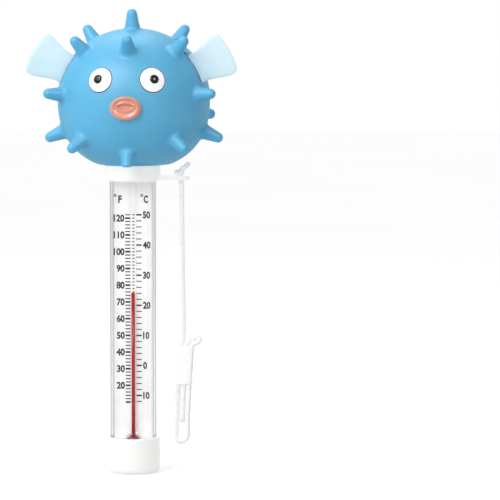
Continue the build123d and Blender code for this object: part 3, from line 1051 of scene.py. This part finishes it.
# ------------ fins
FIN_PLANE = -4.5
FIN_ROOT = 30
TAIL_ROOT = 36
FIN_HALF_THICKNESS = 0.62
ROOT_SWELL = (0.45, 7)  # how much thicker a fin is at its root, and over what length that fades
RIDGE_HEIGHT = 0.05
RIDGE_RATE = 9
FAN_POINT = (-14, 14)  # where the ridges fan out from: past the root, and above the widest line
EDGE_POWER = 14  # how late the fins' edges round off
CUP = (0.012, 1.7)
RIM_SHARES = [0.03, 0.25, 0.5, 0.7, 0.84, 0.92, 0.96, 0.985, 1.0]
SIDE_SLOT = (7.6, 20.3)  # heights of its ends
TAIL_SLOT = (4.6, 18.4)
SLOT_HALF = 1.06
SLOT_POWER = 0.25  # the slots' corners are nearly square
# how far each row of a slot's painted shadow strip stands out of the slot and off the body
SLOT_ROWS = ((0.0, -0.3), (0.02, 0.07), (0.5, 0.07), (0.58, -0.2))
# across from the middle of the fish, height above the body's widest line
SIDE_FIN = [
    (24.6, 15.0), (25.2, 18.2), (27.3, 20.2), (30.0, 21.9), (32.8, 24.5), (35.3, 27.4),
    (37.2, 28.7), (39.1, 28.9), (41.0, 27.2), (43.9, 23.2), (46.4, 18.6), (48.0, 14.4),
    (47.8, 12.2), (45.8, 10.6), (42.4, 9.7), (38.6, 9.1), (35.0, 8.2), (31.5, 6.8),
    (28.0, 8.8),
]
TAIL_FIN = [
    (28.5, 16.5), (33.0, 22.1), (37.0, 25.7), (40.2, 27.5), (42.8, 26.9), (44.6, 23.5),
    (46.0, 17.5), (46.9, 12.0), (46.8, 7.7), (44.6, 5.5), (40.0, 4.9), (36.0, 4.7),
    (33.6, 6.5), (30.6, 11.5),
]


def closed_curve(outline, steps=8):
    """Smooth closed line through the outline's points."""
    count = len(outline)
    points = np.array(outline, float)
    out = []
    for i in range(count):
        a, b, c, d = (points[(i + k) % count] for k in (-1, 0, 1, 2))
        for step in range(steps):
            t = step / steps
            curve = 2 * b + (c - a) * t + (2 * a - 5 * b + 4 * c - d) * t * t
            out.append(0.5 * (curve + (3 * b - a - 3 * c + d) * t**3))
    return np.array(out)


def fin_mesh(outline, root, lay):
    """Plate inside an outline: thin with a full round edge, thicker at the root.

    lay turns (across, up, thickness) into a point.
    """
    rim = closed_curve(outline)
    middle = rim.mean(0)
    columns = len(rim)
    rings = []
    for face in (1, -1):
        order = RIM_SHARES if face > 0 else RIM_SHARES[-2::-1]
        for share in order:
            ring = []
            for across, up in middle + (rim - middle) * share:
                near_root = math.exp(-max(across - root, 0) / ROOT_SWELL[1])
                thick = FIN_HALF_THICKNESS + ROOT_SWELL[0] * near_root
                edge = math.sqrt(max(1 - share**EDGE_POWER, 0))
                turn = math.atan2(up - FAN_POINT[1], across - root - FAN_POINT[0])
                ray = RIDGE_HEIGHT * math.sin(RIDGE_RATE * turn)
                ring.append(lay(across, up, face * (thick * edge + ray * edge * (share < 0.97))))
            rings.append(ring)
    return np.concatenate(rings), ring_faces(len(rings), columns)


def slot_edge(name, ends, middle, surface):
    """Thin dark strip on the body round the slot that a fin is pushed into: painted shadow of the
    gap.

    ends are heights, middle is the fin's plane, and surface turns a height and a place across
    the fin's thickness into a point of the body and the direction outwards.
    """
    low, high = ends
    columns = 72
    rings = [[] for _ in SLOT_ROWS]
    for column in range(columns):
        angle = 2 * math.pi * column / columns
        c, s = math.cos(angle), math.sin(angle)
        for ring, (grow, lift) in zip(rings, SLOT_ROWS):
            tall = (high - low) / 2 + grow
            height = (low + high) / 2 + tall * math.copysign(abs(s) ** SLOT_POWER, s)
            across = middle + (SLOT_HALF + grow) * math.copysign(abs(c) ** SLOT_POWER, c)
            point, outward = surface(height, across)
            ring.append(point + lift * outward)
    edge = new_object(name, np.concatenate(rings), loop_faces(len(rings), columns), SLOT_SHADE)
    place(edge, "float", "vinyl_blue")


def make_slots():
    """Painted shadow strips round the three slots."""
    for side, name in ((-1, "left"), (1, "right")):

        def surface(height, y, side=side):
            reach = body_reach(height)
            x = side * math.sqrt(reach**2 - (y - BODY_BACK) ** 2)
            azimuth = math.degrees(math.atan2(x, BODY_BACK - y))
            point, outward = body_point(azimuth, height)
            return np.array(point), np.array(outward)

        slot_edge(f"fin_slot_{name}", SIDE_SLOT, FIN_PLANE, surface)

    def behind(height, x):
        azimuth = 180 - math.degrees(math.asin(x / body_reach(height)))
        point, outward = body_point(azimuth, height)
        return np.array(point), np.array(outward)

    slot_edge("fin_slot_tail", TAIL_SLOT, 0.0, behind)


def make_fins():
    """Two side fins, cupped a little towards the face, and the tail fin."""
    for side, name in ((-1, "left"), (1, "right")):

        def lay(across, up, thick, side=side):
            cup = CUP[0] * max(across - FIN_ROOT, 0) ** CUP[1]
            return (side * across, FIN_PLANE - cup + thick, BELLY_Z + up)

        points, faces = fin_mesh(SIDE_FIN, FIN_ROOT, lay)
        if side > 0:
            faces = [face[::-1] for face in faces]
        fin = new_object(f"fin_{name}_plate", points, faces, FIN)
        place(fin, "float", "fin_film", f"fin_{name}")

    def lay_tail(across, up, thick):
        return (thick, across, BELLY_Z + up)

    points, faces = fin_mesh(TAIL_FIN, TAIL_ROOT, lay_tail)
    tail = new_object("tail_fin_plate", points, faces, FIN)
    place(tail, "float", "fin_film", "tail_fin")


make_fins()
make_slots()

# ------------ spirit
def make_column():
    """Red thread that stretches between the bulb and the meniscus."""
    count = 32
    angles = np.arange(count) * 2 * math.pi / count
    rings = []
    for z in (THREAD_BOTTOM, MENISCUS_BOTTOM):
        ring = [(THREAD_RADIUS * math.cos(a), THREAD_RADIUS * math.sin(a), z) for a in angles]
        rings.append(ring)
    column = new_object("spirit_column", np.concatenate(rings), ring_faces(2, count), SPIRIT)
    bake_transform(column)
    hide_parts("spirit_thread")


make_column()

# ------------ printed scale
DEGREE = 1.387
FREEZING_Z = 48.8
PRINT_SHIFT = -0.35
PRINT_LIFT = 0.03  # the ink stands this far in front of the card
PRINT_WEIGHT = 0.042
DIGIT_HEIGHT = 3.35
CELSIUS_SQUEEZE = 0.8
FAHRENHEIT_SQUEEZE = 0.87
CELSIUS_LEFT = 4.7
FAHRENHEIT_RIGHT = -3.75
TITLE_Z = 125.9
RING_RISE = 1.15  # degree signs stand this far above the titles' middle
LETTER_DROP = 0.6
# left and right ends of the ticks
CELSIUS_TICK = (1.65, 4.1)
FAHRENHEIT_TICK = (-3.4, -1.05)
BORE_MARK = (-0.1, 0.8)
# thickness of a short and of a long tick
CELSIUS_THICK = (0.42, 0.72)
FAHRENHEIT_THICK = (0.5, 0.85)
BORE_THICK = 0.5


def celsius_z(degrees):
    """Height of a temperature."""
    return FREEZING_Z + DEGREE * degrees


def text_points(text, height, squeeze):
    """Flat mesh of a text of a given height, with its left foot at (0, 0)."""
    curve = bpy.data.curves.new("text", "FONT")
    curve.body = text
    curve.resolution_u = 4
    curve.offset = PRINT_WEIGHT
    points, faces = curve_mesh(curve)
    scale = height / (points[:, 1].max() - points[:, 1].min())
    points = (points - points.min(0)) * scale
    points[:, 0] *= squeeze
    return points, faces


class Sheet:
    """Gathers flat shapes just in front of the card into one mesh."""

    def __init__(self):
        self.points = []
        self.faces = []

    def add(self, points, faces):
        """Add a shape, whose points are (across, height)."""
        base = len(self.points)
        self.points += [(x + PRINT_SHIFT, CARD_FRONT - PRINT_LIFT, z) for x, z in points]
        self.faces += [tuple(index + base for index in face) for face in faces]

    def bar(self, ends, z, thick):
        """A tick at a height."""
        left, right = ends
        low, high = z - thick / 2, z + thick / 2
        self.add([(left, low), (right, low), (right, high), (left, high)], [(0, 1, 2, 3)])

    def ring(self, x, z, outer=0.66, inner=0.28, sides=20):
        """The degree sign."""
        turns = [2 * math.pi * side / sides for side in range(sides)]
        rims = [(r, turn) for r in (outer, inner) for turn in turns]
        points = [(x + r * math.cos(turn), z + r * math.sin(turn)) for r, turn in rims]
        after = [(side + 1) % sides for side in range(sides)]
        self.add(points, [(i, j, j + sides, i + sides) for i, j in zip(range(sides), after)])

    def text(self, text, height, squeeze, z, left=None, right=None):
        """Text centred on a height, from its left end or up to its right end."""
        points, faces = text_points(text, height, squeeze)
        width = points[:, 0].max()
        start = left if left is not None else right - width
        self.add([(start + x, z - height / 2 + y) for x, y, _ in points], faces)

    def title(self, letter, ring_at, left, height, squeeze):
        """Degree sign and letter of a unit."""
        self.ring(ring_at, TITLE_Z + RING_RISE)
        self.text(letter, height, squeeze, TITLE_Z - LETTER_DROP, left=left)

    def finish(self, name):
        """Make the piece."""
        piece = new_object(name, self.points, self.faces, INK, smooth=False)
        place(piece, "root", "pupil_black")


def make_print():
    """Celsius on the right and Fahrenheit on the left, a tick for every two degrees."""
    celsius = Sheet()
    for degrees in range(-12, 51, 2):
        major = degrees % 10 == 0
        z = celsius_z(degrees)
        celsius.bar(CELSIUS_TICK, z, CELSIUS_THICK[major])
        if major:
            celsius.text(str(abs(degrees)), DIGIT_HEIGHT, CELSIUS_SQUEEZE, z, left=CELSIUS_LEFT)
    celsius.title("C", ring_at=4.3, left=5.15, height=3.5, squeeze=0.64)
    celsius.finish("scale_print_celsius")
    fahrenheit = Sheet()
    for degrees in range(10, 123, 2):
        major = degrees % 10 == 0
        z = celsius_z((degrees - 32) / 1.8)
        fahrenheit.bar(FAHRENHEIT_TICK, z, FAHRENHEIT_THICK[major])
        fahrenheit.bar(BORE_MARK, z, BORE_THICK)
        if major and degrees >= 20:
            text = str(degrees)
            fahrenheit.text(text, DIGIT_HEIGHT, FAHRENHEIT_SQUEEZE, z, right=FAHRENHEIT_RIGHT)
    fahrenheit.title("F", ring_at=-8.0, left=-6.6, height=3.4, squeeze=0.84)
    fahrenheit.finish("scale_print_fahrenheit")


make_print()

# ------------ carried-over pieces
dress(WHITE, "top_cap", "bottom_cap")
dress(RUBBER, "neck_ring", "top_seal", "bottom_seal")
dress(SPIRIT, "spirit_meniscus")
dress(SHADED_SPIRIT, "spirit_bulb")
dress(CLEAR, "outer_tube")
dress(GLASS, "thermometer_glass")
dress(CARD, "scale_card")
dress(HOLDER, "stem_holder")
dress(FOAM, "bulb_cushion")
dress(STEEL, "ballast")
